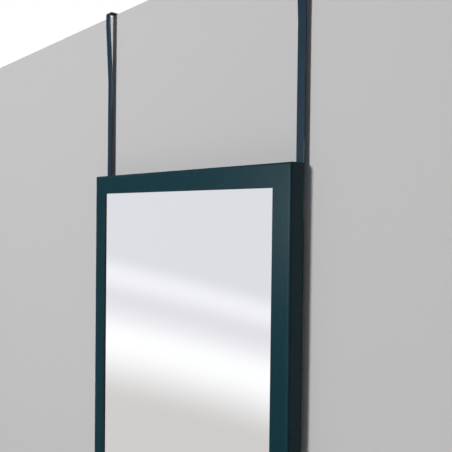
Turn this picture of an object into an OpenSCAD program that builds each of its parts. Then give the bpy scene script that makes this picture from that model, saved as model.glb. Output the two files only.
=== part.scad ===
// Over the door mirror: a tall framed mirror that hangs from a door's top edge on two flat bands.
// X runs along the door, Y runs through it from front to back, and Z points up.
// The origin is on the door's top front edge, midway between the two hooks.

/* [Frame] */
// Overall width of the frame
frame_w = 300; // [240:10:500]
// Overall height of the frame
frame_h = 1200; // [900:20:1600]
// Width of the moulding's face, seen from the front
face_w = 20; // [19:0.5:32]
// Depth of the moulding, from front to back
moulding_d = 15; // [13:0.5:22]
// Thickness of the lip that covers the glass's edge
lip_t = 1.5; // [1:0.25:3]
// Thickness of the wall round the glass and the board
wall_t = 9.5; // [9:0.25:12]
// Radius of the rounded outer front edge
outer_round = 2; // [0.5:0.25:3.5]
// Bevel along the edge next to the glass
sight_bevel = 0.5; // [0.2:0.1:0.8]

/* [Corner nails] */
// Length of each leg of a corner nail
nail_leg = 6; // [4:0.5:10]
// Thickness of a corner nail's sheet
nail_t = 0.6; // [0.4:0.1:1]
// Height of a corner nail, from front to back
nail_h = 8; // [5:0.5:9]
// Distance of the first nail from the frame's outer faces
nail_inset = 2.4; // [1.5:0.1:3]
// Distance from the first nail to the second
nail_step = 3.6; // [2:0.1:4.5]
// Depth that a nail is sunk below the frame's back
nail_sink = 0.4; // [0:0.1:1]

/* [Glass and backing] */
// Thickness of the glass
glass_t = 3; // [2:0.5:4]
// Thickness of the silvering with its paint
coat_t = 0.1; // [0.1:0.05:0.3]
// Thickness of the card sheet
card_t = 1.5; // [0.5:0.25:2]
// Thickness of the backing board
board_t = 3; // [2:0.5:4]
// Gap round the edges of the glass and the sheets
sheet_gap = 0.5; // [0.3:0.1:1]
// Width of a board point
point_w = 8; // [5:0.5:12]
// Thickness of a board point
point_t = 0.6; // [0.4:0.1:0.8]
// Length of a point over the board
point_reach = 8; // [5:0.5:14]
// Length of a point inside the frame's wall
point_grip = 5; // [3:0.5:6]
// Points along each stile
stile_points = 6; // [3:1:9]
// Points along each rail
rail_points = 2; // [1:1:4]
// Distance of the end points from the frame's corners
point_margin = 70; // [40:5:90]

/* [Hangers] */
// Width of the hanger bands
band_w = 8.5; // [8:0.25:9.25]
// Thickness of the hanger bands
band_t = 1.2; // [0.8:0.1:2]
// Distance of a band's outer edge from the frame's side
band_inset = 0; // [0:0.05:0.75]
// Height of the door's top edge above the frame, as the mirror hangs in the middle of its travel
drop = 188; // [140:2:400]
// Gap between a hook's front and its rear lip
hook_gap = 46.5; // [40:0.5:60]
// Depth of the hook's rear lip below the door's top edge
lip_drop = 35; // [20:1:60]
// Inner radius of the hook's bends
bend_r = 2; // [1:0.5:4]
// Forward set of the bands near the hook
band_set = 3.5; // [0:0.5:6]
// Distance from the door's top edge down to the end of the forward set
set_end = 12; // [10:1:20]
// Distance from the door's top edge down to where the forward set begins
set_start = 75; // [50:5:120]
// Radius of the corners at the bands' ends
band_corner_r = 1.5; // [0.5:0.25:3]
// Distance that the mirror can be raised
travel_up = 60; // [20:5:60]
// Distance that the mirror can be lowered
travel_down = 60; // [20:5:100]
// Distance from the frame's top edge to the upper clamp screws
screw_below_top = 125; // [100:5:200]
// Distance between the upper and the lower clamp screw
screw_pitch = 40; // [30:5:80]
// Band left past each end of its slot
slot_margin = 8; // [5:1:20]

/* [Screws and washers] */
// Diameter of a clamp screw's shank
shank_d = 3; // [2.5:0.25:3.5]
// Length of a clamp screw's shank
shank_l = 14; // [10:0.5:15]
// Length of the pointed tip
tip_l = 2.5; // [1.5:0.5:4]
// Diameter of a clamp screw's head
head_d = 6; // [5.5:0.25:7]
// Height of a clamp screw's head
head_h = 1.8; // [1.4:0.1:2]
// Length of the cross in the head, from end to end
cross_l = 3.4; // [2.5:0.1:4]
// Width of the cross in the head
cross_w = 0.7; // [0.5:0.1:1]
// Depth of the cross in the head
cross_depth = 1; // [0.6:0.1:1.2]
// Outer diameter of a washer
washer_d = 8; // [7.5:0.25:9]
// Thickness of a washer
washer_t = 0.8; // [0.5:0.1:1]

/* [Pads and bumpers] */
// Gap between the frame's back and the door, which the bumpers fill
stand_off = 5; // [4.8:0.1:9]
// Diameter of a bumper where it is stuck on
bumper_d = 9; // [7:0.5:9]
// Diameter of a bumper's flat end
bumper_end_d = 7; // [4:0.5:7]
// Distance from the frame's top edge to the upper bumpers
upper_bumper = 400; // [400:10:500]
// Distance from the frame's bottom edge to the lower bumpers
lower_bumper = 40; // [20:5:100]
// Thickness of the pads under the hooks
top_pad_t = 0.5; // [0.5:0.25:3]
// Length of the pads under the hooks
top_pad_l = 34; // [20:1:36]
// Thickness of the pads on the rear lips
lip_pad_t = 1; // [0.5:0.25:2]
// Height of the pads on the rear lips
lip_pad_h = 22; // [10:1:24]
// Distance that a pad stays in from the band's edges
pad_inset = 0.3; // [0:0.1:1]
// Distance of a hook's pad from the door's front face
top_pad_start = 1; // [0:0.5:3]
// Distance of a lip's pad from the rounded corners of the band's end
lip_pad_rise = 1; // [0:0.5:3]

/* [Clearances] */
// Gap between a band and what it slides along
slide_gap = 0.1; // [0.05:0.05:0.2]
// Clearance round a screw's shank in the band's slot
slot_fit = 0.05; // [0.02:0.01:0.1]
// Clearance round the nails, points and screws in the frame
seat_fit = 0.03; // [0.01:0.01:0.05]
// Free length left in the slot at each end of the travel
stop_gap = 0.5; // [0.2:0.1:2]

/* [Hidden] */
$fn = 48;

frame_paint = "#2a4148";
spring_steel = "#b9bcbe";
black_zinc = "#3c3f42";
LEFT = -1;
RIGHT = 1;
TOP = 1;
BOTTOM = -1;
UPPER = 0;
LOWER = 1;
// Overlap that lets a cut run out through a face
cut_over = 1;

// Planes from front to back
back_y = -stand_off;
front_y = back_y - moulding_d;
glass_y = front_y + lip_t;
coat_y = glass_y + glass_t;
card_y = coat_y + coat_t;
board_y = card_y + card_t;
point_y = board_y + board_t;
band_front_y = back_y + slide_gap;
band_back_y = band_front_y + band_t;
washer_y = band_back_y + slide_gap;
head_y = washer_y + washer_t;

// Heights
top_z = -drop;
bottom_z = top_z - frame_h;
centre_z = (top_z + bottom_z) / 2;
upper_screw_z = top_z - screw_below_top;
lower_screw_z = upper_screw_z - screw_pitch;

// Hanger band
slot_w = shank_d + 2 * slot_fit;
slot_top_z = upper_screw_z + travel_up + stop_gap;
slot_bottom_z = lower_screw_z - travel_down - stop_gap;
band_end_z = slot_bottom_z - slot_w / 2 - slot_margin;
band_x = frame_w / 2 - band_inset - band_w / 2;
hook_front_y = band_front_y - band_set;
lip_front_y = hook_front_y + band_t + hook_gap;
lip_back_y = lip_front_y + band_t;
bend_outer_r = bend_r + band_t;
bend_z = top_pad_t - bend_r;
// The forward set begins above the highest place that the frame's back can reach
set_start_z = max(-set_start, top_z + travel_up + slot_margin);
set_end_z = min(-set_end, bend_z - 1);

// Sheets
sheet_w = frame_w - 2 * (wall_t + sheet_gap);
sheet_h = frame_h - 2 * (wall_t + sheet_gap);

// ---- Frame ----

// Places what is drawn below a length of moulding's outer face (Z = 0, front at Y = 0)
// on one side of the frame
module on_side(angle, half) {
  translate([0, front_y, centre_z])
    rotate([0, angle, 0])
      translate([0, 0, half])
        children();
}

module on_top() {
  on_side(0, frame_h / 2) children();
}

module on_bottom() {
  on_side(180, frame_h / 2) children();
}

module on_stile(side) {
  on_side(90 * side, frame_w / 2) children();
}

// Cross-section of the moulding: first coordinate inwards from the outer face, second from the front
module moulding_section() {
  translate([outer_round, outer_round])
    circle(outer_round);
  polygon([
    [outer_round, 0],
    [face_w - sight_bevel, 0],
    [face_w, sight_bevel],
    [face_w, lip_t],
    [wall_t, lip_t],
    [wall_t, moulding_d],
    [0, moulding_d],
    [0, outer_round],
    [outer_round, outer_round],
  ]);
}

// Length of moulding along X with a mitre at both ends
module mitred_moulding(length) {
  intersection() {
    rotate([0, 90, 0])
      translate([0, 0, -length / 2])
        linear_extrude(length)
          moulding_section();
    rotate([90, 0, 0])
      translate([0, 0, -moulding_d])
        linear_extrude(moulding_d)
          polygon([
            [-length / 2, 0],
            [length / 2, 0],
            [length / 2 - face_w, -face_w],
            [-length / 2 + face_w, -face_w],
          ]);
  }
}

// Where the points stand along a side of this length
function point_places(length, count) =
  count == 1
    ? [0]
    : [for (i = [0 : count - 1]) (i / (count - 1) - 0.5) * (length - 2 * point_margin)];

// Row of board points on one side, each partly in the frame's wall and partly over the board
module point_row(length, count, extra) {
  for (x = point_places(length, count))
    translate([
      x - point_w / 2 - extra,
      point_y - front_y - extra,
      -wall_t - (extra > 0 ? cut_over : point_reach),
    ])
      cube([
        point_w + 2 * extra,
        point_t + 2 * extra,
        point_grip + extra + (extra > 0 ? cut_over : point_reach),
      ]);
}

// Places what is drawn from a frame's outer corner inwards (towards +X and -Z)
module at_corner(side, end) {
  translate([side * frame_w / 2, back_y, end > 0 ? top_z : bottom_z])
    mirror([side > 0 ? 1 : 0, 0, 0])
      mirror([0, 0, end > 0 ? 0 : 1])
        children();
}

// Two angled nails across a mitre, each with one leg in either moulding
module corner_nail_pair(extra) {
  sink = extra > 0 ? -cut_over : nail_sink;
  for (inset = [nail_inset, nail_inset + nail_step]) {
    translate([inset - extra, -nail_sink - nail_h - extra, -inset - nail_t - extra])
      cube([nail_leg + 2 * extra, nail_h + nail_sink - sink + extra, nail_t + 2 * extra]);
    translate([inset - extra, -nail_sink - nail_h - extra, -inset - nail_leg - extra])
      cube([nail_t + 2 * extra, nail_h + nail_sink - sink + extra, nail_leg + 2 * extra]);
  }
}

module corner_nails(side, end) {
  color(spring_steel)
    at_corner(side, end) corner_nail_pair(0);
}

module rail(end) {
  color(frame_paint)
    difference() {
      if (end > 0)
        on_top() mitred_moulding(frame_w);
      else
        on_bottom() mitred_moulding(frame_w);
      for (side = [LEFT, RIGHT])
        at_corner(side, end) corner_nail_pair(seat_fit);
      if (end > 0)
        on_top() point_row(frame_w, rail_points, seat_fit);
      else
        on_bottom() point_row(frame_w, rail_points, seat_fit);
    }
}

module stile(side) {
  color(frame_paint)
    difference() {
      on_stile(side) mitred_moulding(frame_h);
      for (end = [TOP, BOTTOM])
        at_corner(side, end) corner_nail_pair(seat_fit);
      on_stile(side) point_row(frame_h, stile_points, seat_fit);
      for (row = [UPPER, LOWER])
        at_screw(side, row) screw_shaft(seat_fit);
    }
}

module rail_point_group(end) {
  color(spring_steel)
    if (end > 0)
      on_top() point_row(frame_w, rail_points, 0);
    else
      on_bottom() point_row(frame_w, rail_points, 0);
}

module stile_point_group(side) {
  color(spring_steel)
    on_stile(side) point_row(frame_h, stile_points, 0);
}

// ---- Glass and backing ----

// Sheet as large as the frame's rabbet, from one plane to the next
module rabbet_sheet(y, thickness) {
  translate([-sheet_w / 2, y, centre_z - sheet_h / 2])
    cube([sheet_w, thickness, sheet_h]);
}

module mirror_glass() {
  color("#cfe0dc")
    rabbet_sheet(glass_y, glass_t);
}

module silver_coat() {
  color("#d9dadc")
    rabbet_sheet(coat_y, coat_t);
}

module card_sheet() {
  color("#b89a74")
    rabbet_sheet(card_y, card_t);
}

module backing_board() {
  color("#7c5a3c")
    rabbet_sheet(board_y, board_t);
}

// ---- Hangers ----

// Side view of a band: first coordinate from front to back, second upwards
module band_outline() {
  // Straight stretch behind the frame
  translate([band_front_y, band_end_z])
    square([band_t, set_start_z - band_end_z]);
  // Forward set
  polygon([
    [band_front_y, set_start_z],
    [band_back_y, set_start_z],
    [hook_front_y + band_t, set_end_z],
    [hook_front_y, set_end_z],
  ]);
  translate([hook_front_y, set_end_z])
    square([band_t, bend_z - set_end_z]);
  // Front bend, top and rear bend
  quarter_bend(hook_front_y + bend_outer_r, hook_front_y);
  translate([hook_front_y + bend_outer_r, top_pad_t])
    square([lip_back_y - hook_front_y - 2 * bend_outer_r, band_t]);
  quarter_bend(lip_back_y - bend_outer_r, lip_back_y - bend_outer_r);
  // Rear lip
  translate([lip_front_y, -lip_drop])
    square([band_t, bend_z + lip_drop]);
}

// Quarter of a ring about y, above the bend's height and right of from_y
module quarter_bend(y, from_y) {
  intersection() {
    translate([y, bend_z])
      difference() {
        circle(bend_outer_r);
        circle(bend_r);
      }
    translate([from_y, bend_z])
      square(bend_outer_r);
  }
}

// What is trimmed off a band's lower end to round its corners, in a flat view
module end_trim(z) {
  for (side = [LEFT, RIGHT])
    translate([side * (band_w / 2 - band_corner_r), z + band_corner_r])
      difference() {
        translate([side > 0 ? 0 : -cut_over - band_corner_r, -cut_over - band_corner_r])
          square(band_corner_r + cut_over);
        circle(band_corner_r);
      }
}

// Cuts a flat view (X and Z) through the band between two planes
module cut_through(from_y, to_y) {
  translate([0, to_y, 0])
    rotate([90, 0, 0])
      linear_extrude(to_y - from_y)
        children();
}

module hanger_band(side) {
  color(frame_paint)
    translate([side * band_x, 0, 0])
      difference() {
        translate([-band_w / 2, 0, 0])
          rotate([90, 0, 90])
            linear_extrude(band_w)
              band_outline();
        // Slot that the clamp screws pass through
        cut_through(band_front_y - cut_over, band_back_y + cut_over)
          union() {
            for (z = [slot_bottom_z, slot_top_z])
              translate([0, z])
                circle(d = slot_w);
            translate([-slot_w / 2, slot_bottom_z])
              square([slot_w, slot_top_z - slot_bottom_z]);
          }
        cut_through(band_front_y - cut_over, band_back_y + cut_over)
          end_trim(band_end_z);
        cut_through(lip_front_y - cut_over, lip_back_y + cut_over)
          end_trim(-lip_drop);
      }
}

// Pad under a hook, on the door's top edge
module top_pad(side) {
  pad_start_y = max(top_pad_start, hook_front_y + bend_outer_r);
  pad_l = min(top_pad_l, lip_front_y - bend_r - pad_start_y);
  color("#2b2b2d")
    translate([side * band_x - band_w / 2 + pad_inset, pad_start_y, 0])
      cube([band_w - 2 * pad_inset, pad_l, top_pad_t]);
}

// Pad on a hook's rear lip, towards the door's far side
module lip_pad(side) {
  pad_bottom_z = -lip_drop + band_corner_r + lip_pad_rise;
  pad_h = min(lip_pad_h, bend_z - pad_bottom_z);
  color("#2b2b2d")
    translate([side * band_x - band_w / 2 + pad_inset, lip_front_y - lip_pad_t, pad_bottom_z])
      cube([band_w - 2 * pad_inset, lip_pad_t, pad_h]);
}

// ---- Screws and washers ----

// Places what is drawn along -Z from the underside of a screw's head
module at_screw(side, row) {
  translate([side * band_x, head_y, row == UPPER ? upper_screw_z : lower_screw_z])
    rotate([-90, 0, 0])
      children();
}

module screw_shaft(extra) {
  rotate_extrude()
    polygon([
      [0, 0],
      [shank_d / 2 + extra, 0],
      [shank_d / 2 + extra, -shank_l + tip_l],
      [0, -shank_l - extra],
    ]);
}

module clamp_screw(side, row) {
  dome = head_h / 3;
  color(black_zinc)
    at_screw(side, row) {
      screw_shaft(0);
      difference() {
        rotate_extrude()
          polygon([
            [0, 0],
            [head_d / 2, 0],
            [head_d / 2, head_h - dome],
            [head_d / 2 - dome, head_h],
            [0, head_h],
          ]);
        for (angle = [0, 90])
          rotate([0, 0, angle])
            translate([-cross_l / 2, -cross_w / 2, head_h - cross_depth])
              cube([cross_l, cross_w, cross_depth + cut_over]);
      }
    }
}

module washer(side, row) {
  color(black_zinc)
    at_screw(side, row)
      translate([0, 0, -washer_t])
        difference() {
          cylinder(h = washer_t, d = washer_d);
          translate([0, 0, -cut_over])
            cylinder(h = washer_t + 2 * cut_over, d = shank_d + 2 * slot_fit);
        }
}

// ---- Bumpers ----

module bumper(side, z) {
  color("#d8d8d4")
    translate([side * (frame_w / 2 - wall_t / 2), back_y, z])
      rotate([-90, 0, 0])
        cylinder(h = stand_off, d1 = bumper_d, d2 = bumper_end_d);
}

rail(TOP);  // top_rail
rail(BOTTOM);  // bottom_rail
stile(LEFT);  // left_stile
stile(RIGHT);  // right_stile
corner_nails(LEFT, TOP);  // top_left_nails
corner_nails(RIGHT, TOP);  // top_right_nails
corner_nails(LEFT, BOTTOM);  // bottom_left_nails
corner_nails(RIGHT, BOTTOM);  // bottom_right_nails
mirror_glass();
silver_coat();
card_sheet();
backing_board();
rail_point_group(TOP);  // top_points
rail_point_group(BOTTOM);  // bottom_points
stile_point_group(LEFT);  // left_points
stile_point_group(RIGHT);  // right_points
hanger_band(LEFT);  // left_band
hanger_band(RIGHT);  // right_band
top_pad(LEFT);  // left_top_pad
top_pad(RIGHT);  // right_top_pad
lip_pad(LEFT);  // left_lip_pad
lip_pad(RIGHT);  // right_lip_pad
clamp_screw(LEFT, UPPER);  // left_upper_screw
clamp_screw(LEFT, LOWER);  // left_lower_screw
clamp_screw(RIGHT, UPPER);  // right_upper_screw
clamp_screw(RIGHT, LOWER);  // right_lower_screw
washer(LEFT, UPPER);  // left_upper_washer
washer(LEFT, LOWER);  // left_lower_washer
washer(RIGHT, UPPER);  // right_upper_washer
washer(RIGHT, LOWER);  // right_lower_washer
bumper(LEFT, top_z - upper_bumper);  // upper_left_bumper
bumper(RIGHT, top_z - upper_bumper);  // upper_right_bumper
bumper(LEFT, bottom_z + lower_bumper);  // lower_left_bumper
bumper(RIGHT, bottom_z + lower_bumper);  // lower_right_bumper
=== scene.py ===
import math

import bmesh
import bpy
from mathutils import Color, Matrix, Vector, noise


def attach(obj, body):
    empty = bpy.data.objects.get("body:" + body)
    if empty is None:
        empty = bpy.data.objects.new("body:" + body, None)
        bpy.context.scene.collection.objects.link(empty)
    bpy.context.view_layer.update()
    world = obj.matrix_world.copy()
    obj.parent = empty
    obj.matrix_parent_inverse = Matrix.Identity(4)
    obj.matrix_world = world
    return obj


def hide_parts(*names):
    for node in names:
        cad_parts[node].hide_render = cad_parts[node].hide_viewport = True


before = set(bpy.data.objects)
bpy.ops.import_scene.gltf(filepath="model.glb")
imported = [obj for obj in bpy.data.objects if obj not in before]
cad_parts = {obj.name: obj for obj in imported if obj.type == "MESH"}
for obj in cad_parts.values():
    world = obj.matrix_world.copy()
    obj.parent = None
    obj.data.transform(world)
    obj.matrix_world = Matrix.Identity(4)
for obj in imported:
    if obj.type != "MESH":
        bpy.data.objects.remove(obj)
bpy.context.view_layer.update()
scene = bpy.context.scene
scene.view_settings.view_transform = "Standard"

# ---- Camera ----
# The photograph is taken from the right, a little below the door's top edge,
# and looks at the mirror's upper part.

PHOTO_SIZE = 452
SENSOR = 36.0
FOCAL_PX = 592.4
CAMERA_PLACE = (0.4588, -0.3642, -0.2297)
CAMERA_TURN = math.radians(48.104)
CAMERA_DIP = math.radians(1.120)
CAMERA_ROLL = math.radians(0.661)
NEAREST_SEEN = 0.01

camera = bpy.data.objects.new("camera", bpy.data.cameras.new("camera"))
scene.collection.objects.link(camera)
camera.data.sensor_width = SENSOR
camera.data.lens = FOCAL_PX / PHOTO_SIZE * SENSOR
camera.data.clip_start = NEAREST_SEEN
camera.matrix_world = (
    Matrix.Translation(CAMERA_PLACE)
    @ Matrix.Rotation(CAMERA_TURN, 4, "Z")
    @ Matrix.Rotation(math.pi / 2 - CAMERA_DIP, 4, "X")
    @ Matrix.Rotation(CAMERA_ROLL, 4, "Z")
)
scene.camera = camera

# ---- Door face, floor and light ----
# A plain pale sheet stands where the door's front face is, with a plain pale floor under it.
# Both are see-through from behind, so the mirror's back can be looked at as well.
# A soft lamp stands nearly in front, a little to the left, and a second one lights the back.


class Wire:
    """A shader node's output. Sums written with it add Math nodes, and node() adds any other."""

    def __init__(self, tree, socket=None):
        self.tree = tree
        self.socket = socket

    def node(self, kind, settings=None, sockets=None, output=0):
        """Adds a node of a type, with its settings and the values or links of its sockets."""
        made = self.tree.nodes.new(kind)
        for name, value in (settings or {}).items():
            if name == "stops":
                ramp = made.color_ramp.elements
                while len(ramp) < len(value):
                    ramp.new(0.5)
                for stop, (place, tone) in zip(ramp, value):
                    stop.position = place
                    stop.color = tone
            elif name == "blending":
                made.color_ramp.interpolation = value
            else:
                setattr(made, name, value)
        for name, value in (sockets or {}).items():
            if isinstance(value, Wire):
                self.tree.links.new(value.socket, made.inputs[name])
            else:
                made.inputs[name].default_value = value
        return Wire(self.tree, made.outputs[output] if made.outputs else None)

    def sum(self, operation, first, second):
        """Adds a Math node with this operation."""
        return self.node("ShaderNodeMath", {"operation": operation}, {0: first, 1: second})

    def __add__(self, other):
        return self.sum("ADD", self, other)

    def __radd__(self, other):
        return self.sum("ADD", other, self)

    def __sub__(self, other):
        return self.sum("SUBTRACT", self, other)

    def __rsub__(self, other):
        return self.sum("SUBTRACT", other, self)

    def __mul__(self, other):
        return self.sum("MULTIPLY", self, other)

    def __rmul__(self, other):
        return self.sum("MULTIPLY", other, self)

    def __abs__(self):
        return self.node("ShaderNodeMath", {"operation": "ABSOLUTE"}, {0: self})


def colour(text):
    """The colour of a web code, as shaders take it."""
    parts = [int(text[i : i + 2], 16) / 255 for i in (1, 3, 5)]
    return (*Color(parts).from_srgb_to_scene_linear(), 1.0)


def blend(share, first, second):
    """One colour turning into another as the share goes from 0 to 1."""
    return share.node("ShaderNodeMix", {"data_type": "RGBA"}, {0: share, 6: first, 7: second}, 2)


def fade(value, start, end):
    """A share that goes smoothly from 0 to 1 as the value goes from start to end."""
    return value.node(
        "ShaderNodeMapRange",
        {"interpolation_type": "SMOOTHSTEP"},
        {"Value": value, "From Min": start, "From Max": end},
    )


def parts_of(place):
    """The X, Y and Z of a place or of a direction."""
    return [place.node("ShaderNodeSeparateXYZ", {}, {0: place}, axis) for axis in "XYZ"]


def new_finish(name):
    """A material without nodes, and the place on the surface, from which its nodes start."""
    finish = bpy.data.materials.new(name)
    finish.use_nodes = True
    finish.node_tree.nodes.clear()
    return finish, Wire(finish.node_tree).node("ShaderNodeTexCoord", output="Object")


def stage_finish(name, tone, fade_start, fade_end):
    """A plain matt colour that fades into white far off and can't be seen from behind."""
    finish, place = new_finish(name)
    distance = place.node("ShaderNodeVectorMath", {"operation": "LENGTH"}, {0: place}, "Value")
    looked_at = place.node("ShaderNodeLightPath", output="Is Camera Ray")
    seen_from = place.node("ShaderNodeNewGeometry", output="Backfacing")
    front = place.node("ShaderNodeBsdfDiffuse", {}, {"Color": tone})
    white = place.node("ShaderNodeEmission")
    far = fade(distance, fade_start, fade_end) * looked_at
    faded = place.node("ShaderNodeMixShader", {}, {0: far, 1: front, 2: white})
    behind = place.node("ShaderNodeBsdfTransparent")
    surface = place.node("ShaderNodeMixShader", {}, {0: seen_from * looked_at, 1: faded, 2: behind})
    place.node("ShaderNodeOutputMaterial", {}, {"Surface": surface})
    return finish


def stage_sheet(name, finish, width, height, place):
    """A flat sheet of the stage, drawn face up and then turned and put in place."""
    shape = bmesh.new()
    bmesh.ops.create_grid(shape, x_segments=1, y_segments=1, size=0.5)
    bmesh.ops.scale(shape, vec=(width, height, 1), verts=shape.verts)
    bmesh.ops.transform(shape, matrix=place, verts=shape.verts)
    mesh = bpy.data.meshes.new(name)
    shape.to_mesh(mesh)
    shape.free()
    mesh.materials.append(finish)
    sheet = bpy.data.objects.new(name, mesh)
    scene.collection.objects.link(sheet)
    sheet.visible_glossy = False
    return sheet


# In metres: sizes, the door's distance behind the pieces that touch it, and how far from the
# origin each sheet starts to fade and is white
FLOOR_Z = -2.0
FLOOR_SIZE = 12.0
FLOOR_FADE = (2.5, 5.0)
FLOOR_TONE = colour("#d9d8d6")
DOOR_W = 6.0
DOOR_Y = 0.0004
DOOR_FADE = (1.8, 3.0)
DOOR_TONE = colour("#bfbebf")

door_face = stage_sheet(
    "door_face",
    stage_finish("door_face", DOOR_TONE, *DOOR_FADE),
    DOOR_W,
    -FLOOR_Z,
    Matrix.Translation((0, DOOR_Y, FLOOR_Z / 2)) @ Matrix.Rotation(math.pi / 2, 4, "X"),
)
door_face.visible_shadow = False
stage_sheet(
    "floor",
    stage_finish("floor", FLOOR_TONE, *FLOOR_FADE),
    FLOOR_SIZE,
    FLOOR_SIZE,
    Matrix.Translation((0, 0, FLOOR_Z)),
)

LAMPS = {
    "front_lamp": {"place": (-0.50, -2.90, 0.55), "size": 0.6, "power": 80.0},
    "back_lamp": {"place": (-1.1, 2.7, 0.3), "size": 1.2, "power": 62.0},
}
LAMP_AIM = Vector((0, 0, -0.4))

for name, facts in LAMPS.items():
    lamp = bpy.data.objects.new(name, bpy.data.lights.new(name, "AREA"))
    lamp.data.shape = "DISK"
    lamp.data.size = facts["size"]
    lamp.data.energy = facts["power"]
    lamp.location = facts["place"]
    lamp.rotation_euler = (LAMP_AIM - lamp.location).to_track_quat("-Z", "Y").to_euler()
    lamp.visible_glossy = False
    scene.collection.objects.link(lamp)

# What the mirror shows: an even pale room with one narrow and one broad strip of light, both
# tilted, over a darker lower part. Each place is a height in the picture.
STRIP_TILT = 0.26
STRIP_SPAN = 1.2
STRIP_GAIN = 1.06
ROOM_TONE = "#dddee3"
DARKER_TONE = "#d0cdcb"
BETWEEN_TONE = "#e2e1e7"
NARROW_TONE = "#f2f1f7"
BROAD_TONE = "#ffffff"
STRIPS = (
    (-0.60, DARKER_TONE),
    (-0.318, DARKER_TONE),
    (-0.2255, BROAD_TONE),
    (-0.222, BROAD_TONE),
    (-0.160, BETWEEN_TONE),
    (-0.125, NARROW_TONE),
    (-0.088, ROOM_TONE),
    (0.08, ROOM_TONE),
    (0.35, NARROW_TONE),
    (0.60, ROOM_TONE),
)

# The even light from all round, and the tones that satin paint and steel reflect in front of the
# door and behind it, with the share of Y in a direction at which one turns into the other
FILL_LIGHT = (0.14, 0.14, 0.145, 1.0)
GLOSS_FRONT = (0.09, 0.092, 0.095, 1.0)
GLOSS_BACK = (0.40, 0.405, 0.41, 1.0)
GLOSS_TURN = (0.6, 1.0)
WHITE = (1.0, 1.0, 1.0, 1.0)

# A soft wide glow that satin paint picks up: where its two ends stand to the left of straight
# ahead and how high it is, how far from there it is full and where it ends, and its brightness
GLOW_LEFT = math.radians(36.5)
GLOW_RIGHT = math.radians(5.0)
GLOW_UP = math.radians(1.0)
GLOW_FULL = math.radians(5.5)
GLOW_END = math.radians(9.5)
GLOW = (1.7, 1.7, 1.7, 1.0)

studio = bpy.data.worlds.new("studio")
studio.use_nodes = True
studio.node_tree.nodes.clear()
scene.world = studio
direction = Wire(studio.node_tree).node("ShaderNodeTexCoord", output="Generated")

mirror_image = Matrix.Diagonal((1, -1, 1)) @ camera.matrix_world.to_3x3()
strip_up = (mirror_image.col[1] + STRIP_TILT * mirror_image.col[0]).normalized()
height = direction.node(
    "ShaderNodeVectorMath", {"operation": "DOT_PRODUCT"}, {0: direction, 1: strip_up}, "Value"
)
stops = []
for place, tone in STRIPS:
    red, green, blue, alpha = colour(tone)
    brighter = (red * STRIP_GAIN, green * STRIP_GAIN, blue * STRIP_GAIN, alpha)
    stops.append(((place + STRIP_SPAN / 2) / STRIP_SPAN, brighter))
room = direction.node(
    "ShaderNodeValToRGB",
    {"stops": stops, "blending": "EASE"},
    {0: (height + STRIP_SPAN / 2) * (1 / STRIP_SPAN)},
)

x, y, z = parts_of(direction)
gloss = blend(fade(y, *GLOSS_TURN), GLOSS_FRONT, GLOSS_BACK)
left = direction.sum("ARCTAN2", 0 - x, 0 - y)
beside = direction.sum("MAXIMUM", direction.sum("MAXIMUM", left - GLOW_LEFT, GLOW_RIGHT - left), 0)
above = direction.node("ShaderNodeMath", {"operation": "ARCSINE"}, {0: z}) - GLOW_UP
away = direction.sum("POWER", beside * beside + above * above, 0.5)
gloss = blend(fade(away, GLOW_END, GLOW_FULL), gloss, GLOW)

ray = {
    name: direction.node("ShaderNodeLightPath", output=f"Is {name} Ray")
    for name in ("Camera", "Glossy", "Singular")
}
light = blend(ray["Glossy"], FILL_LIGHT, gloss)
light = blend(ray["Singular"], light, room)
light = blend(ray["Camera"], light, WHITE)
background = direction.node("ShaderNodeBackground", {}, {"Color": light, "Strength": 1.0})
direction.node("ShaderNodeOutputWorld", {}, {"Surface": background})

# ---- Frame mouldings ----
# Four lengths of fibreboard moulding with a rounded outer edge and a lip over the glass.
# Their ends are mitred, the edges eased by the sanding, and all faces sprayed with dark
# blue-green satin paint, which is thinner on the back.

# Sizes are in millimetres from here on, and a finished mesh is scaled to metres
MM = 0.001
FRAME_W = 300.0
FRAME_H = 1200.0
FRAME_TOP = -188.0
FRAME_FRONT = -20.0
FRAME_BACK = -5.0
FRAME_MIDDLE = FRAME_TOP - FRAME_H / 2
FACE_W = 20.0
DEPTH = FRAME_BACK - FRAME_FRONT
LIP_T = 1.5
WALL_T = 9.5
OUTER_ROUND = 2.0
SIGHT_ROUND = 0.5
BACK_EASE = 0.4
MITRE_EASE = 0.12
# The moulding's section, as (distance behind its front, distance below its outer face)
MOULDING_SECTION = (
    (0, 0),
    (0, -FACE_W),
    (LIP_T, -FACE_W),
    (LIP_T, -WALL_T),
    (DEPTH, -WALL_T),
    (DEPTH, 0),
)
# Its rounded edges: their place in the section, by how much they are rounded, and in how many steps
ROUNDED_EDGES = (
    (0, 0, OUTER_ROUND, 8),
    (0, -FACE_W, SIGHT_ROUND, 3),
    (DEPTH, 0, BACK_EASE, 2),
    (DEPTH, -WALL_T, BACK_EASE / 2, 2),
)
# Each length: how it is turned, its outer face's distance from the frame's middle, its length, and
# how many points hold the board in it
LENGTHS = {
    "top_rail": (0, FRAME_H / 2, FRAME_W, 2),
    "bottom_rail": (180, FRAME_H / 2, FRAME_W, 2),
    "left_stile": (-90, FRAME_W / 2, FRAME_H, 6),
    "right_stile": (90, FRAME_W / 2, FRAME_H, 6),
}
SIDES = {"left": -1, "right": 1}
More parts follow.
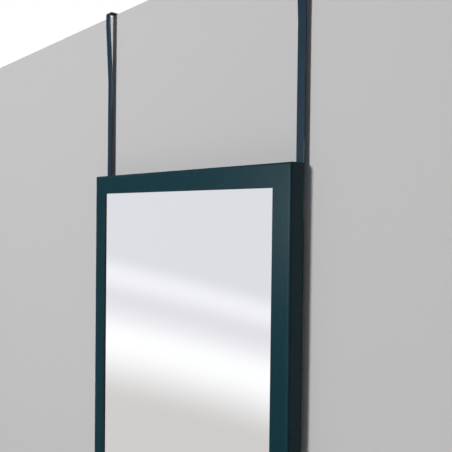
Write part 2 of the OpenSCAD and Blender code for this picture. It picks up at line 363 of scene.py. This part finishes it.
# The nails, points and screws that have seats in the moulding, and the room round them
NAIL_LEG = 6.0
NAIL_T = 0.6
NAIL_H = 8.0
NAIL_SINK = 0.4
NAIL_INSETS = (2.4, 6.0)
POINT_W = 8.0
POINT_T = 0.6
POINT_REACH = 8.0
POINT_GRIP = 5.0
POINT_Y = 9.1
POINT_MARGIN = 70.0
HEAD_Y = -2.8
BAND_X = 145.75
SCREW_HEIGHTS = {"upper": -313.0, "lower": -353.0}
SHANK_R = 1.5
SHANK_L = 14.0
TIP_L = 2.5
HOLE_STEPS = 24
SEAT_FIT = 0.03
# How far the raw moulding stands past its mitres and a cutter past the face that it cuts
SAW_ROOM = 5.0
CUT_ROOM = 1.0
# Places nearer than this count as alike, and points nearer than these are merged after a turn
# or a cut
ALIKE = 0.01
TURN_MERGE = 0.0005
CUT_MERGE = 0.003
# The angle in degrees from which an edge is shaded sharp
CREASE = 35


def side_of_frame(turn, half):
    """Where a length of moulding goes. It is drawn along X, below its outer face, with its front
    at Y 0."""
    return (
        Matrix.Translation((0, FRAME_FRONT, FRAME_MIDDLE))
        @ Matrix.Rotation(math.radians(turn), 4, "Y")
        @ Matrix.Translation((0, 0, half))
    )


def prism(shape, outline, along):
    """Adds a solid with this outline at one end, run out along this vector."""
    face = shape.faces.new([shape.verts.new(corner) for corner in outline])
    run = bmesh.ops.extrude_face_region(shape, geom=[face])
    ends = [item for item in run["geom"] if isinstance(item, bmesh.types.BMVert)]
    bmesh.ops.translate(shape, vec=along, verts=ends)
    bmesh.ops.recalc_face_normals(shape, faces=shape.faces)


def block(shape, low, high):
    """Adds a block between two corners."""
    low, high = Vector(low), Vector(high)
    points = bmesh.ops.create_cube(shape, size=1)["verts"]
    bmesh.ops.scale(shape, vec=high - low, verts=points)
    bmesh.ops.translate(shape, vec=(low + high) / 2, verts=points)


def ease(shape, edges, offset, segments):
    """Rounds these edges over."""
    bmesh.ops.bevel(
        shape,
        geom=edges,
        offset=offset,
        offset_type="OFFSET",
        segments=segments,
        profile=0.5,
        affect="EDGES",
        material=-1,
        clamp_overlap=True,
    )


def near(value, target):
    """Whether two places count as alike."""
    return abs(value - target) < ALIKE


def edges_where(shape, test):
    """The edges whose two ends both pass a test."""
    return [edge for edge in shape.edges if all(test(point.co) for point in edge.verts)]


def slice_through(shape, place, facing, clear=False):
    """Cuts a shape along a plane. With clear, what lies outside goes and the cut is closed."""
    cut = bmesh.ops.bisect_plane(
        shape,
        geom=shape.verts[:] + shape.edges[:] + shape.faces[:],
        plane_co=place,
        plane_no=facing,
        clear_outer=clear,
    )
    if clear:
        rim = [item for item in cut["geom_cut"] if isinstance(item, bmesh.types.BMEdge)]
        bmesh.ops.edgeloop_fill(shape, edges=rim)


def turned(shape, profile, steps, closed=False):
    """Adds a solid turned round the Y axis from points given as (radius, distance along Y)."""
    points = [shape.verts.new((radius, along, 0)) for radius, along in profile]
    following = points[1:] + points[:1] if closed else points[1:]
    lines = [shape.edges.new(pair) for pair in zip(points, following)]
    bmesh.ops.spin(
        shape,
        geom=points + lines,
        cent=(0, 0, 0),
        axis=(0, 1, 0),
        angle=2 * math.pi,
        steps=steps,
        use_merge=True,
    )
    bmesh.ops.remove_doubles(shape, verts=shape.verts, dist=TURN_MERGE)
    bmesh.ops.recalc_face_normals(shape, faces=shape.faces)


def mesh_of(shape, name):
    """A mesh with this shape, which is used up."""
    mesh = bpy.data.meshes.new(name)
    shape.to_mesh(mesh)
    shape.free()
    return mesh


def cut_away(stock, cutter):
    """Takes the cutter's solids out of the stock and returns what is left."""
    stock = bpy.data.objects.new("stock", mesh_of(stock, "stock"))
    cutter = bpy.data.objects.new("cutter", mesh_of(cutter, "cutter"))
    for item in (stock, cutter):
        scene.collection.objects.link(item)
    cut = stock.modifiers.new("cut", "BOOLEAN")
    cut.operation = "DIFFERENCE"
    cut.solver = "EXACT"
    cut.object = cutter
    bpy.context.view_layer.update()
    graph = bpy.context.evaluated_depsgraph_get()
    result = bpy.data.meshes.new_from_object(stock.evaluated_get(graph))
    rest = bmesh.new()
    rest.from_mesh(result)
    for item in (stock, cutter):
        bpy.data.objects.remove(item)
    bmesh.ops.remove_doubles(rest, verts=rest.verts, dist=CUT_MERGE)
    return rest


def piece_of(shape, name, body, node, finish, crease=CREASE):
    """Makes a named piece of a shape drawn in millimetres. It rides on a body and stands for a
    solid."""
    bmesh.ops.scale(shape, vec=(MM, MM, MM), verts=shape.verts)
    mesh = mesh_of(shape, name)
    mesh.shade_smooth()
    mesh.set_sharp_from_angle(angle=math.radians(crease))
    mesh.materials.append(finish)
    piece = bpy.data.objects.new(name, mesh)
    scene.collection.objects.link(piece)
    weights = piece.modifiers.new("even_shading", "WEIGHTED_NORMAL")
    weights.keep_sharp = True
    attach(piece, body)
    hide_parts(node)
    return piece


def nail_slots(shape, length):
    """Adds what is cut from a length of moulding for its legs of the corner nails. A leg is cut
    straight on past the mitre, so that none of its edges lies in the mitre's face."""
    deepest = DEPTH - NAIL_SINK - NAIL_H - SEAT_FIT
    for end in (-1, 1):
        for inset in NAIL_INSETS:
            inner = end * (length / 2 - inset - NAIL_LEG - SEAT_FIT)
            outer = end * (length / 2 - inset + CUT_ROOM)
            block(
                shape,
                (min(inner, outer), deepest, -inset - NAIL_T - SEAT_FIT),
                (max(inner, outer), DEPTH + CUT_ROOM, -inset + SEAT_FIT),
            )


def point_places(length, count):
    """Where the points stand along a length of moulding."""
    return [(i / (count - 1) - 0.5) * (length - 2 * POINT_MARGIN) for i in range(count)]


def cloudy(place, scale, detail, distortion=0.0):
    """A cloudy pattern between 0 and 1, finer as its scale grows."""
    return place.node(
        "ShaderNodeTexNoise",
        {},
        {"Vector": place, "Scale": scale, "Detail": detail, "Distortion": distortion},
    )


def stretched(place, scale):
    """The place, stretched along each axis, for patterns that run one way."""
    return place.node("ShaderNodeMapping", {}, {"Vector": place, "Scale": scale})


def bumps(height, strength, distance, under=None):
    """Relief from a height pattern, on top of another relief if there is one."""
    sockets = {"Strength": strength, "Distance": distance, "Height": height}
    if under is not None:
        sockets["Normal"] = under
    return height.node("ShaderNodeBump", {}, sockets)


def surfaced(place, sockets):
    """Ends a finish with its surface, made from these sockets."""
    surface = place.node("ShaderNodeBsdfPrincipled", {}, sockets)
    place.node("ShaderNodeOutputMaterial", {}, {"Surface": surface})


PAINT_DEEP = colour("#092d36")
PAINT_LIGHT = colour("#0c363f")
# The painted highlight along the outer rounded edge, a paler tone broken into patches: where it
# starts and is full, from the frame's outer faces and as Y, which part of a cloudy pattern it
# takes, its tone and how strongly it shows
EDGE_HIGHLIGHT_FROM_SIDE = (2.8 * MM, 2.0 * MM)
EDGE_HIGHLIGHT_Y = (-19.0 * MM, -19.6 * MM)
EDGE_HIGHLIGHT_PATCHES = (0.30, 0.60)
EDGE_HIGHLIGHT_TONE = colour("#33474e")
EDGE_HIGHLIGHT_SHARE = 0.3
# The thin coat on the back, and the board that shows through it, likewise
THIN_COAT_Y = (-5.3 * MM, -5.0 * MM)
THIN_COAT_SPOTS = (0.50, 0.62)
BOARD_TONE = colour("#4b4238")
BOARD_SHARE = 0.5


def paint(name, grain):
    """Sprayed satin paint: faint clouds, a fine grain along the moulding, orange peel, a paler line
    painted along the outer edge as its highlight, broken into patches, and a thinner, duller coat
    on the back, where the brown board shows a little."""
    finish, place = new_finish(name)
    clouds = cloudy(place, scale=26.0, detail=4.0)
    streaks = cloudy(stretched(place, grain), scale=1.0, detail=5.0)
    peel = cloudy(place, scale=820.0, detail=2.0)
    fibres = cloudy(place, scale=2600.0, detail=3.0)
    x, y, z = parts_of(place)
    from_side = FRAME_W / 2 * MM - abs(x)
    from_end = FRAME_H / 2 * MM - abs(z - FRAME_MIDDLE * MM)
    nearest = place.sum("MINIMUM", from_side, from_end)
    # Painted highlight: a paler tone along the outer rounded edge, in patches
    outer_edge = fade(nearest, *EDGE_HIGHLIGHT_FROM_SIDE) * fade(y, *EDGE_HIGHLIGHT_Y)
    edge_highlight = outer_edge * fade(clouds * 0.6 + streaks * 0.4, *EDGE_HIGHLIGHT_PATCHES)
    back = fade(y, *THIN_COAT_Y)
    thin_spots = fade(clouds * 0.5 + fibres * 0.5, *THIN_COAT_SPOTS)
    face = blend(clouds * 0.55 + streaks * 0.45, PAINT_DEEP, PAINT_LIGHT)
    face = blend(edge_highlight * EDGE_HIGHLIGHT_SHARE, face, EDGE_HIGHLIGHT_TONE)
    fine = bumps(peel * 0.6 + streaks * 0.4, strength=0.22, distance=0.00006)
    surfaced(
        place,
        {
            "Base Color": blend(back * thin_spots * BOARD_SHARE, face, BOARD_TONE),
            "Roughness": clouds * 0.06 + streaks * 0.05 + 0.21 + back * 0.30,
            "Normal": bumps(back * fibres, strength=0.35, distance=0.00012, under=fine),
            "Specular IOR Level": 0.45,
        },
    )
    return finish


rail_paint = paint("rail_paint", grain=(14.0, 420.0, 420.0))
stile_paint = paint("stile_paint", grain=(420.0, 420.0, 14.0))

for name, (turn, half, length, count) in LENGTHS.items():
    moulding = bmesh.new()
    sawn = length + 2 * SAW_ROOM
    prism(moulding, [(-sawn / 2, y, z) for y, z in MOULDING_SECTION], (sawn, 0, 0))
    for end in (-1, 1):
        mitre = Vector((end, 0, -1)).normalized()
        slice_through(moulding, (end * length / 2, 0, 0), mitre, clear=True)
    bmesh.ops.recalc_face_normals(moulding, faces=moulding.faces)
    for y, z, offset, segments in ROUNDED_EDGES:
        edges = edges_where(moulding, lambda p: near(p.y, y) and near(p.z, z))
        ease(moulding, edges, offset, segments)
    mitred = edges_where(moulding, lambda p: near(abs(p.x) - p.z, length / 2))
    ease(moulding, mitred, MITRE_EASE, segments=1)
    bmesh.ops.transform(moulding, matrix=side_of_frame(turn, half), verts=moulding.verts)

    holes = bmesh.new()
    nail_slots(holes, length)
    deepest = -WALL_T + POINT_GRIP + SEAT_FIT
    for along in point_places(length, count):
        block(
            holes,
            (along - POINT_W / 2 - SEAT_FIT, POINT_Y - SEAT_FIT, -WALL_T - CUT_ROOM),
            (along + POINT_W / 2 + SEAT_FIT, POINT_Y + POINT_T + SEAT_FIT, deepest),
        )
    bmesh.ops.transform(holes, matrix=side_of_frame(turn, half), verts=holes.verts)
    if "stile" in name:
        side = SIDES[name.split("_")[0]]
        for screw_z in SCREW_HEIGHTS.values():
            hole = bmesh.new()
            wide = SHANK_R + SEAT_FIT
            drilled = [(0, 0), (wide, 0), (wide, -SHANK_L + TIP_L), (0, -SHANK_L - SEAT_FIT)]
            turned(hole, drilled, HOLE_STEPS)
            bmesh.ops.translate(hole, vec=(side * BAND_X, HEAD_Y, screw_z), verts=hole.verts)
            holes.from_mesh(mesh_of(hole, "hole"))
    moulding = cut_away(moulding, holes)
    finish = stile_paint if "stile" in name else rail_paint
    piece_of(moulding, name + "_moulding", "mirror", name, finish)

# ---- Corner nails ----
# Angled nails of sheet steel, driven across each mitre from the back until they lie
# just below it, with one leg in either moulding.

DULL_SHARE = 0.72


def steel(name, tone, roughness, grain):
    """Bright rolled or plated steel with fine scratches and dull patches."""
    finish, place = new_finish(name)
    patches = cloudy(place, scale=420.0, detail=4.0)
    scratches = cloudy(stretched(place, grain), scale=1.0, detail=4.0)
    dull = [part * DULL_SHARE for part in tone[:3]] + [1.0]
    surfaced(
        place,
        {
            "Base Color": blend(patches * 0.7 + scratches * 0.3, dull, tone),
            "Metallic": 1.0,
            "Roughness": patches * 0.22 + scratches * 0.12 + roughness,
            "Normal": bumps(scratches * 0.6 + patches * 0.4, strength=0.25, distance=0.00004),
        },
    )
    return finish


def finish_nodes(finish, nodes):
    """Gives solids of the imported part, whose own shape is right, a finish."""
    for node in nodes:
        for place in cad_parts[node].material_slots:
            place.material = finish


nail_steel = steel(
    "nail_steel", colour("#a9abad"), roughness=0.18, grain=(300.0, 2400.0, 2400.0)
)
finish_nodes(
    nail_steel,
    [f"{end}_{side}_nails" for end in ("top", "bottom") for side in ("left", "right")],
)

# ---- Mirror glass and its silvering ----
# A sheet of float glass with ground edges, silvered behind and held by the frame's lip. The
# picture is given by the sheet's front, because clear glass this thin adds nothing to it.

GLASS_FRONT = -18.5
GLASS_T = 3.0
SHEET_W = 280.0
SHEET_H = 1180.0
GLASS_EASE = 0.3
SILVER_GAP = 0.02
WAVE_GRAIN = (3.0, 3.0, 0.8)

mirror_finish, place = new_finish("mirror_finish")
bloom = cloudy(place, scale=3.0, detail=2.0)
float_waves = cloudy(stretched(place, WAVE_GRAIN), scale=5.0, detail=1.0)
surfaced(
    place,
    {
        "Base Color": blend(bloom, colour("#f6f7f8"), colour("#fafafb")),
        "Metallic": 1.0,
        "Roughness": bloom * 0.003,
        "Normal": bumps(float_waves, strength=0.02, distance=0.001),
    },
)

pane = bmesh.new()
block(
    pane,
    (-SHEET_W / 2, GLASS_FRONT, FRAME_MIDDLE - SHEET_H / 2),
    (SHEET_W / 2, GLASS_FRONT + GLASS_T - SILVER_GAP, FRAME_MIDDLE + SHEET_H / 2),
)
ease(pane, pane.edges[:], GLASS_EASE, segments=1)
piece_of(pane, "silvered_pane", "mirror", "mirror_glass", mirror_finish)
finish_nodes(mirror_finish, ["silver_coat"])

# ---- Card and backing board ----
# A sheet of grey-brown card lies behind the silvering, and a hardboard panel with the
# print of its pressing screen closes the back.

# Which part of a cloudy pattern is flecks, their tone and how strongly they show, and how close
# and how strong the screen's print is
FLECKS = (0.60, 0.72)
FLECK_TONE = colour("#3a2818")
FLECK_SHARE = 0.45
SCREEN = 190.0
SCREEN_SHARE = 0.22


def pressed_board(name, dark, pale, screen):
    """Board pressed from wood fibre: tangled fibres, dark flecks, and the print of a screen if it
    has one."""
    finish, place = new_finish(name)
    stains = cloudy(place, scale=9.0, detail=5.0)
    tangle = cloudy(place, scale=520.0, detail=7.0, distortion=2.4)
    flecks = cloudy(place, scale=430.0, detail=3.0, distortion=1.6)
    face = blend(stains * 0.45 + tangle * 0.55, dark, pale)
    face = blend(fade(flecks, *FLECKS) * FLECK_SHARE, face, FLECK_TONE)
    height = tangle * 0.7 + stains * 0.3
    if screen:
        weave = [
            place.node(
                "ShaderNodeTexWave", {"bands_direction": way}, {"Vector": place, "Scale": SCREEN}
            )
            for way in ("X", "Z")
        ]
        screen_print = weave[0] * weave[1]
        face = blend(screen_print * SCREEN_SHARE, face, dark)
        height = tangle * 0.45 + screen_print * 0.55
    surfaced(
        place,
        {
            "Base Color": face,
            "Roughness": tangle * 0.15 + 0.7,
            "Normal": bumps(height, strength=0.5, distance=0.00025),
            "Specular IOR Level": 0.3,
        },
    )
    return finish


card = pressed_board("card", colour("#a98c68"), colour("#c2a883"), screen=False)
hardboard = pressed_board("hardboard", colour("#7c5c42"), colour("#9c7b5a"), screen=True)
finish_nodes(card, ["card_sheet"])
finish_nodes(hardboard, ["backing_board"])

# ---- Board points ----
# Flat steel points, stamped with a rounded tip and a hole, shot into the
# moulding's inner wall and lying on the hardboard to hold it in.

POINT_TIP_ROUND = 2.2
POINT_EASE = 0.1
POINT_HOLE_R = 1.0
POINT_HOLE_IN = 2.6
POINT_HOLE_STEPS = 20
SHARP_FROM = 1.0
X, Y, Z = range(3)
POINT_GROUPS = {
    "top_points": "top_rail",
    "bottom_points": "bottom_rail",
    "left_points": "left_stile",
    "right_points": "right_stile",
}


def level_edges(edges, *axes):
    """Those of the edges whose two ends are alike along these axes."""

    def is_level(edge):
        first, second = (point.co for point in edge.verts)
        return all(near(first[axis], second[axis]) for axis in axes)

    return [edge for edge in edges if is_level(edge)]


def sharp_edges(shape):
    """The edges at which two faces meet at more than SHARP_FROM radians."""
    return [edge for edge in shape.edges if edge.calc_face_angle(0) > SHARP_FROM]


point_steel = steel(
    "point_steel", colour("#b7b9bb"), roughness=0.2, grain=(2200.0, 2200.0, 300.0)
)
for name, side_name in POINT_GROUPS.items():
    turn, half, length, count = LENGTHS[side_name]
    strip = bmesh.new()
    holes = bmesh.new()
    for along in point_places(length, count):
        block(
            strip,
            (along - POINT_W / 2, POINT_Y, -WALL_T - POINT_REACH),
            (along + POINT_W / 2, POINT_Y + POINT_T, -WALL_T + POINT_GRIP),
        )
        punch = bmesh.ops.create_cone(
            holes,
            cap_ends=True,
            segments=POINT_HOLE_STEPS,
            radius1=POINT_HOLE_R,
            radius2=POINT_HOLE_R,
            depth=2 * CUT_ROOM,
        )["verts"]
        bored = Matrix.Translation((along, POINT_Y, -WALL_T - POINT_REACH + POINT_HOLE_IN))
        bored = bored @ Matrix.Rotation(math.pi / 2, 4, "X")
        bmesh.ops.transform(holes, matrix=bored, verts=punch)
    tips = level_edges(edges_where(strip, lambda p: near(p.z, -WALL_T - POINT_REACH)), X)
    ease(strip, tips, POINT_TIP_ROUND, segments=5)
    ease(strip, sharp_edges(strip), POINT_EASE, segments=1)
    strip = cut_away(strip, holes)
    bmesh.ops.transform(strip, matrix=side_of_frame(turn, half), verts=strip.verts)
    piece_of(strip, name + "_stamped", "mirror", name, point_steel)

# ---- Hanger bands ----
# Flat steel strips, slotted where the clamp screws pass, bent into a hook over the
# door's top edge, and powder coated in a slightly bluer, duller tone than the frame.

BAND_W = 8.5
BAND_T = 1.2
BAND_FRONT = -4.9
BAND_SET = 3.5
SET_START = -75.0
SET_END = -12.0
HOOK_TOP = 1.7
HOOK_GAP = 46.5
LIP_DROP = 35.0
BEND_R = 2.0
END_ROUND = 1.5
BAND_EASE = 0.25
SLOT_R = 1.55
SLOT_ROUND = SLOT_R - 0.001
SLOT_ENDS = (-252.5, -413.5)
BAND_END = -423.05
HOOK_FRONT = BAND_FRONT - BAND_SET
LIP_FRONT = HOOK_FRONT + BAND_T + HOOK_GAP
# The band seen from its side, as (Y, Z), and the radius of its bends at each height
BAND_OUTLINE = (
    (BAND_FRONT, BAND_END),
    (BAND_FRONT, SET_START),
    (HOOK_FRONT, SET_END),
    (HOOK_FRONT, HOOK_TOP),
    (LIP_FRONT + BAND_T, HOOK_TOP),
    (LIP_FRONT + BAND_T, -LIP_DROP),
    (LIP_FRONT, -LIP_DROP),
    (LIP_FRONT, HOOK_TOP - BAND_T),
    (HOOK_FRONT + BAND_T, HOOK_TOP - BAND_T),
    (HOOK_FRONT + BAND_T, SET_END),
    (BAND_FRONT + BAND_T, SET_START),
    (BAND_FRONT + BAND_T, BAND_END),
)
BEND_RADII = ((HOOK_TOP, BEND_R + BAND_T), (HOOK_TOP - BAND_T, BEND_R))

COAT_DEEP = colour("#1a2f3b")
COAT_LIGHT = colour("#1e3443")
DUST_SPECKS = (0.05, 0.12)
# The painted highlight along the strip's edges, in patchy stretches: where it starts and is full,
# from the strip's middle, which part of a cloudy pattern the stretches take, their tone and how
# strongly they show
BAND_HIGHLIGHT_FROM_MIDDLE = ((BAND_W / 2 - 0.9) * MM, (BAND_W / 2 - 0.5) * MM)
BAND_HIGHLIGHT_STRETCHES = (0.42, 0.56)
BAND_HIGHLIGHT_TONE = colour("#5c6e79")
BAND_HIGHLIGHT_SHARE = 0.8

# Baked powder coat: a close orange peel, a few specks of dust under it, and paler stretches painted
# along the strip's edges as their highlight
band_paint, place = new_finish("band_paint")
clouds = cloudy(place, scale=60.0, detail=4.0)
stretches = cloudy(place, scale=16.0, detail=1.0)
from_middle = abs(abs(parts_of(place)[X]) - BAND_X * MM)
# Painted highlight: paler stretches along the strip's edges
painted_edge_highlight = fade(from_middle, *BAND_HIGHLIGHT_FROM_MIDDLE) * fade(stretches, *BAND_HIGHLIGHT_STRETCHES)
peel = cloudy(place, scale=1150.0, detail=2.0)
dust = place.node("ShaderNodeTexVoronoi", {}, {"Vector": place, "Scale": 700.0})
specks = place.node(
    "ShaderNodeMapRange",
    {},
    {"Value": dust, "From Min": DUST_SPECKS[0], "From Max": DUST_SPECKS[1]},
)
face = blend(clouds * 0.7 + peel * 0.3, COAT_DEEP, COAT_LIGHT)
surfaced(
    place,
    {
        "Base Color": blend(painted_edge_highlight * BAND_HIGHLIGHT_SHARE, face, BAND_HIGHLIGHT_TONE),
        "Roughness": clouds * 0.1 + 0.36,
        "Normal": bumps(peel * 0.8 + (1 - specks) * 0.2, strength=0.3, distance=0.00006),
    },
)

for side_name, side in SIDES.items():
    strip = bmesh.new()
    prism(strip, [(-BAND_W / 2, y, z) for y, z in BAND_OUTLINE], (BAND_W, 0, 0))
    for bend_z, radius in BEND_RADII:
        bends = level_edges(edges_where(strip, lambda p: near(p.z, bend_z)), Y)
        ease(strip, bends, radius, segments=10)
    for end_z in (BAND_END, -LIP_DROP):
        ends = level_edges(edges_where(strip, lambda p: near(p.z, end_z)), X)
        ease(strip, ends, END_ROUND, segments=5)
    ease(strip, sharp_edges(strip), BAND_EASE, segments=2)
    slot = bmesh.new()
    block(
        slot,
        (-SLOT_R, BAND_FRONT - CUT_ROOM, SLOT_ENDS[1] - SLOT_R),
        (SLOT_R, BAND_FRONT + BAND_T + CUT_ROOM, SLOT_ENDS[0] + SLOT_R),
    )
    ease(slot, level_edges(slot.edges, X, Z), SLOT_ROUND, segments=10)
    strip = cut_away(strip, slot)
    bmesh.ops.translate(strip, vec=(side * BAND_X, 0, 0), verts=strip.verts)
    body = side_name + "_hanger"
    piece_of(strip, side_name + "_strip", body, side_name + "_band", band_paint)

# ---- Hook pads ----
# Strips of black closed-cell foam, glued inside each hook so that it doesn't mark the door.
# They are cut with a knife, so their edges are soft and a little uneven.

PAD_INSET = 0.3
PAD_STEP = 1.0
PAD_ROUND_STEPS = 3
PAD_WAVES = 0.9
PAD_CREASE = 60
PADS = {
    "top": {"y": (1.0, 35.0), "z": (0.0, 0.5), "softness": 0.12, "uneven": 0.04},
    "lip": {"y": (38.3, 39.3), "z": (-32.5, -10.5), "softness": 0.25, "uneven": 0.07},
}

foam, place = new_finish("foam")
cells = place.node(
    "ShaderNodeTexVoronoi", {}, {"Vector": place, "Scale": 1900.0, "Randomness": 1.0}
)
clouds = cloudy(place, scale=240.0, detail=4.0)
surfaced(
    place,
    {
        "Base Color": blend(cells * 0.6 + clouds * 0.4, colour("#1c1c1e"), colour("#3a3a3c")),
        "Roughness": clouds * 0.1 + 0.86,
        "Normal": bumps(cells, strength=0.7, distance=0.00015),
        "Specular IOR Level": 0.25,
    },
)


def foam_strip(x, y, z, softness, uneven):
    """A foam strip between two places on each axis, with its edges rounded and its faces uneven."""
    pad = bmesh.new()
    block(pad, (x[0], y[0], z[0]), (x[1], y[1], z[1]))
    ease(pad, pad.edges[:], softness, PAD_ROUND_STEPS)
    for axis, (low, high) in enumerate((x, y, z)):
        steps = int((high - low) / PAD_STEP)
        for i in range(1, steps):
            facing = [0, 0, 0]
            facing[axis] = 1
            place = [part * (low + (high - low) * i / steps) for part in facing]
            slice_through(pad, place, facing)
    pad.normal_update()
    for point in pad.verts:
        point.co -= point.normal * uneven * (0.5 + 0.5 * noise.noise(point.co * PAD_WAVES))
    return pad


for side_name, side in SIDES.items():
    body = side_name + "_hanger"
    reach = BAND_W / 2 - PAD_INSET
    across = (side * BAND_X - reach, side * BAND_X + reach)
    for pad_name, facts in PADS.items():
        pad = foam_strip(across, facts["y"], facts["z"], facts["softness"], facts["uneven"])
        node = f"{side_name}_{pad_name}_pad"
        pad = piece_of(pad, node + "_foam", body, node, foam, PAD_CREASE)

# ---- Clamp screws and washers ----
# Black zinc-plated pan head screws with a cross recess and a cut thread. Each clamps its
# band to the stile through a stamped washer.

SCREW_STEPS = 40
CORE_R = 1.1
THREAD_PITCH = 1.1
THREAD_TURNS = 9
THREAD_STEPS = 14
THREAD_START = -1.3
THREAD_ROOT_R = CORE_R - 0.15
THREAD_HALF = 0.32
HEAD_H = 1.8
CROSS_ARM = 1.7
CROSS_HALF = 0.35
CROSS_DEPTH = 1.0
CROSS_TAPER = 0.45
CROSS_ROOM = 0.2
# Half of each section, as (radius, distance out from the head's seat)
HEAD_PROFILE = (
    (0, HEAD_H),
    (1.2, 1.79),
    (1.9, 1.74),
    (2.4, 1.62),
    (2.75, 1.4),
    (2.95, 1.05),
    (3.0, 0.7),
    (3.0, 0.15),
    (2.88, 0),
    (SHANK_R, 0),
    (SHANK_R, -0.9),
    (CORE_R, -1.2),
    (CORE_R, -SHANK_L + TIP_L),
    (0.25, -13.8),
    (0, -SHANK_L),
)
WASHER_PROFILE = (
    (1.55, -0.1),
    (1.66, 0),
    (3.8, 0),
    (3.93, -0.06),
    (4.0, -0.2),
    (4.0, -0.8),
    (1.55, -0.8),
)
# The cross of the recess and one tooth of the thread
CROSS_OUTLINE = (
    (CROSS_ARM, CROSS_HALF),
    (CROSS_HALF, CROSS_HALF),
    (CROSS_HALF, CROSS_ARM),
    (-CROSS_HALF, CROSS_ARM),
    (-CROSS_HALF, CROSS_HALF),
    (-CROSS_ARM, CROSS_HALF),
    (-CROSS_ARM, -CROSS_HALF),
    (-CROSS_HALF, -CROSS_HALF),
    (-CROSS_HALF, -CROSS_ARM),
    (CROSS_HALF, -CROSS_ARM),
    (CROSS_HALF, -CROSS_HALF),
    (CROSS_ARM, -CROSS_HALF),
)
TOOTH = (
    (THREAD_ROOT_R, THREAD_HALF, 0),
    (SHANK_R, 0, 0),
    (THREAD_ROOT_R, -THREAD_HALF, 0),
)

screw_zinc = steel("screw_zinc", colour("#4a4f53"), roughness=0.26, grain=(900.0, 900.0, 900.0))

for side_name, side in SIDES.items():
    for row, screw_z in SCREW_HEIGHTS.items():
        seat = Matrix.Translation((side * BAND_X, HEAD_Y, screw_z))
        node = f"{side_name}_{row}"
        screw = bmesh.new()
        turned(screw, HEAD_PROFILE, SCREW_STEPS)
        recess = bmesh.new()
        mouth = [(x, HEAD_H + CROSS_ROOM, z) for x, z in CROSS_OUTLINE]
        prism(recess, mouth, (0, -CROSS_DEPTH - CROSS_ROOM, 0))
        deep = [point for point in recess.verts if near(point.co.y, HEAD_H - CROSS_DEPTH)]
        bmesh.ops.scale(recess, vec=(CROSS_TAPER, 1, CROSS_TAPER), verts=deep)
        screw = cut_away(screw, recess)
        thread = bmesh.new()
        tooth = thread.faces.new([thread.verts.new(corner) for corner in TOOTH])
        bmesh.ops.spin(
            thread,
            geom=[tooth],
            cent=(0, 0, 0),
            axis=(0, 1, 0),
            dvec=(0, -THREAD_PITCH / THREAD_STEPS, 0),
            angle=2 * math.pi * THREAD_TURNS,
            steps=THREAD_STEPS * THREAD_TURNS,
        )
        bmesh.ops.translate(thread, vec=(0, THREAD_START, 0), verts=thread.verts)
        bmesh.ops.recalc_face_normals(thread, faces=thread.faces)
        screw.from_mesh(mesh_of(thread, "thread"))
        bmesh.ops.transform(screw, matrix=seat, verts=screw.verts)
        piece_of(screw, node + "_pan_screw", "mirror", node + "_screw", screw_zinc)

        washer = bmesh.new()
        turned(washer, WASHER_PROFILE, SCREW_STEPS, closed=True)
        bmesh.ops.transform(washer, matrix=seat, verts=washer.verts)
        washer_name = node + "_flat_washer"
        piece_of(washer, washer_name, "mirror", node + "_washer", screw_zinc)

# ---- Bumpers ----
# Soft milky bumpers, cast in a tapered button shape and stuck to the frame's back,
# which keep it off the door.

BUMPER_STEPS = 40
BUMPER_X = (FRAME_W - WALL_T) / 2
BUMPER_HEIGHTS = {"upper": -588.0, "lower": -1348.0}
# Half of its section, as (radius, distance behind the frame)
BUMPER_PROFILE = (
    (0, 0),
    (4.36, 0),
    (4.48, 0.1),
    (4.42, 0.45),
    (4.05, 2.2),
    (3.74, 3.7),
    (3.55, 4.4),
    (3.32, 4.78),
    (2.95, 4.96),
    (2.5, 5.0),
    (0, 5.0),
)

bumper_rubber, place = new_finish("bumper_rubber")
clouds = cloudy(place, scale=130.0, detail=3.0)
dust = cloudy(place, scale=1800.0, detail=3.0)
surfaced(
    place,
    {
        "Base Color": blend(clouds * 0.7 + dust * 0.3, colour("#cdcdc8"), colour("#e2e2de")),
        "Roughness": clouds * 0.15 + dust * 0.1 + 0.32,
        "Subsurface Weight": 0.25,
        "Subsurface Scale": 0.002,
        "Normal": bumps(dust, strength=0.2, distance=0.00006),
    },
)

for row, bumper_z in BUMPER_HEIGHTS.items():
    for side_name, side in SIDES.items():
        button = bmesh.new()
        turned(button, BUMPER_PROFILE, BUMPER_STEPS)
        bmesh.ops.translate(button, vec=(side * BUMPER_X, FRAME_BACK, bumper_z), verts=button.verts)
        node = f"{row}_{side_name}_bumper"
        piece_of(button, node + "_button", "mirror", node, bumper_rubber)
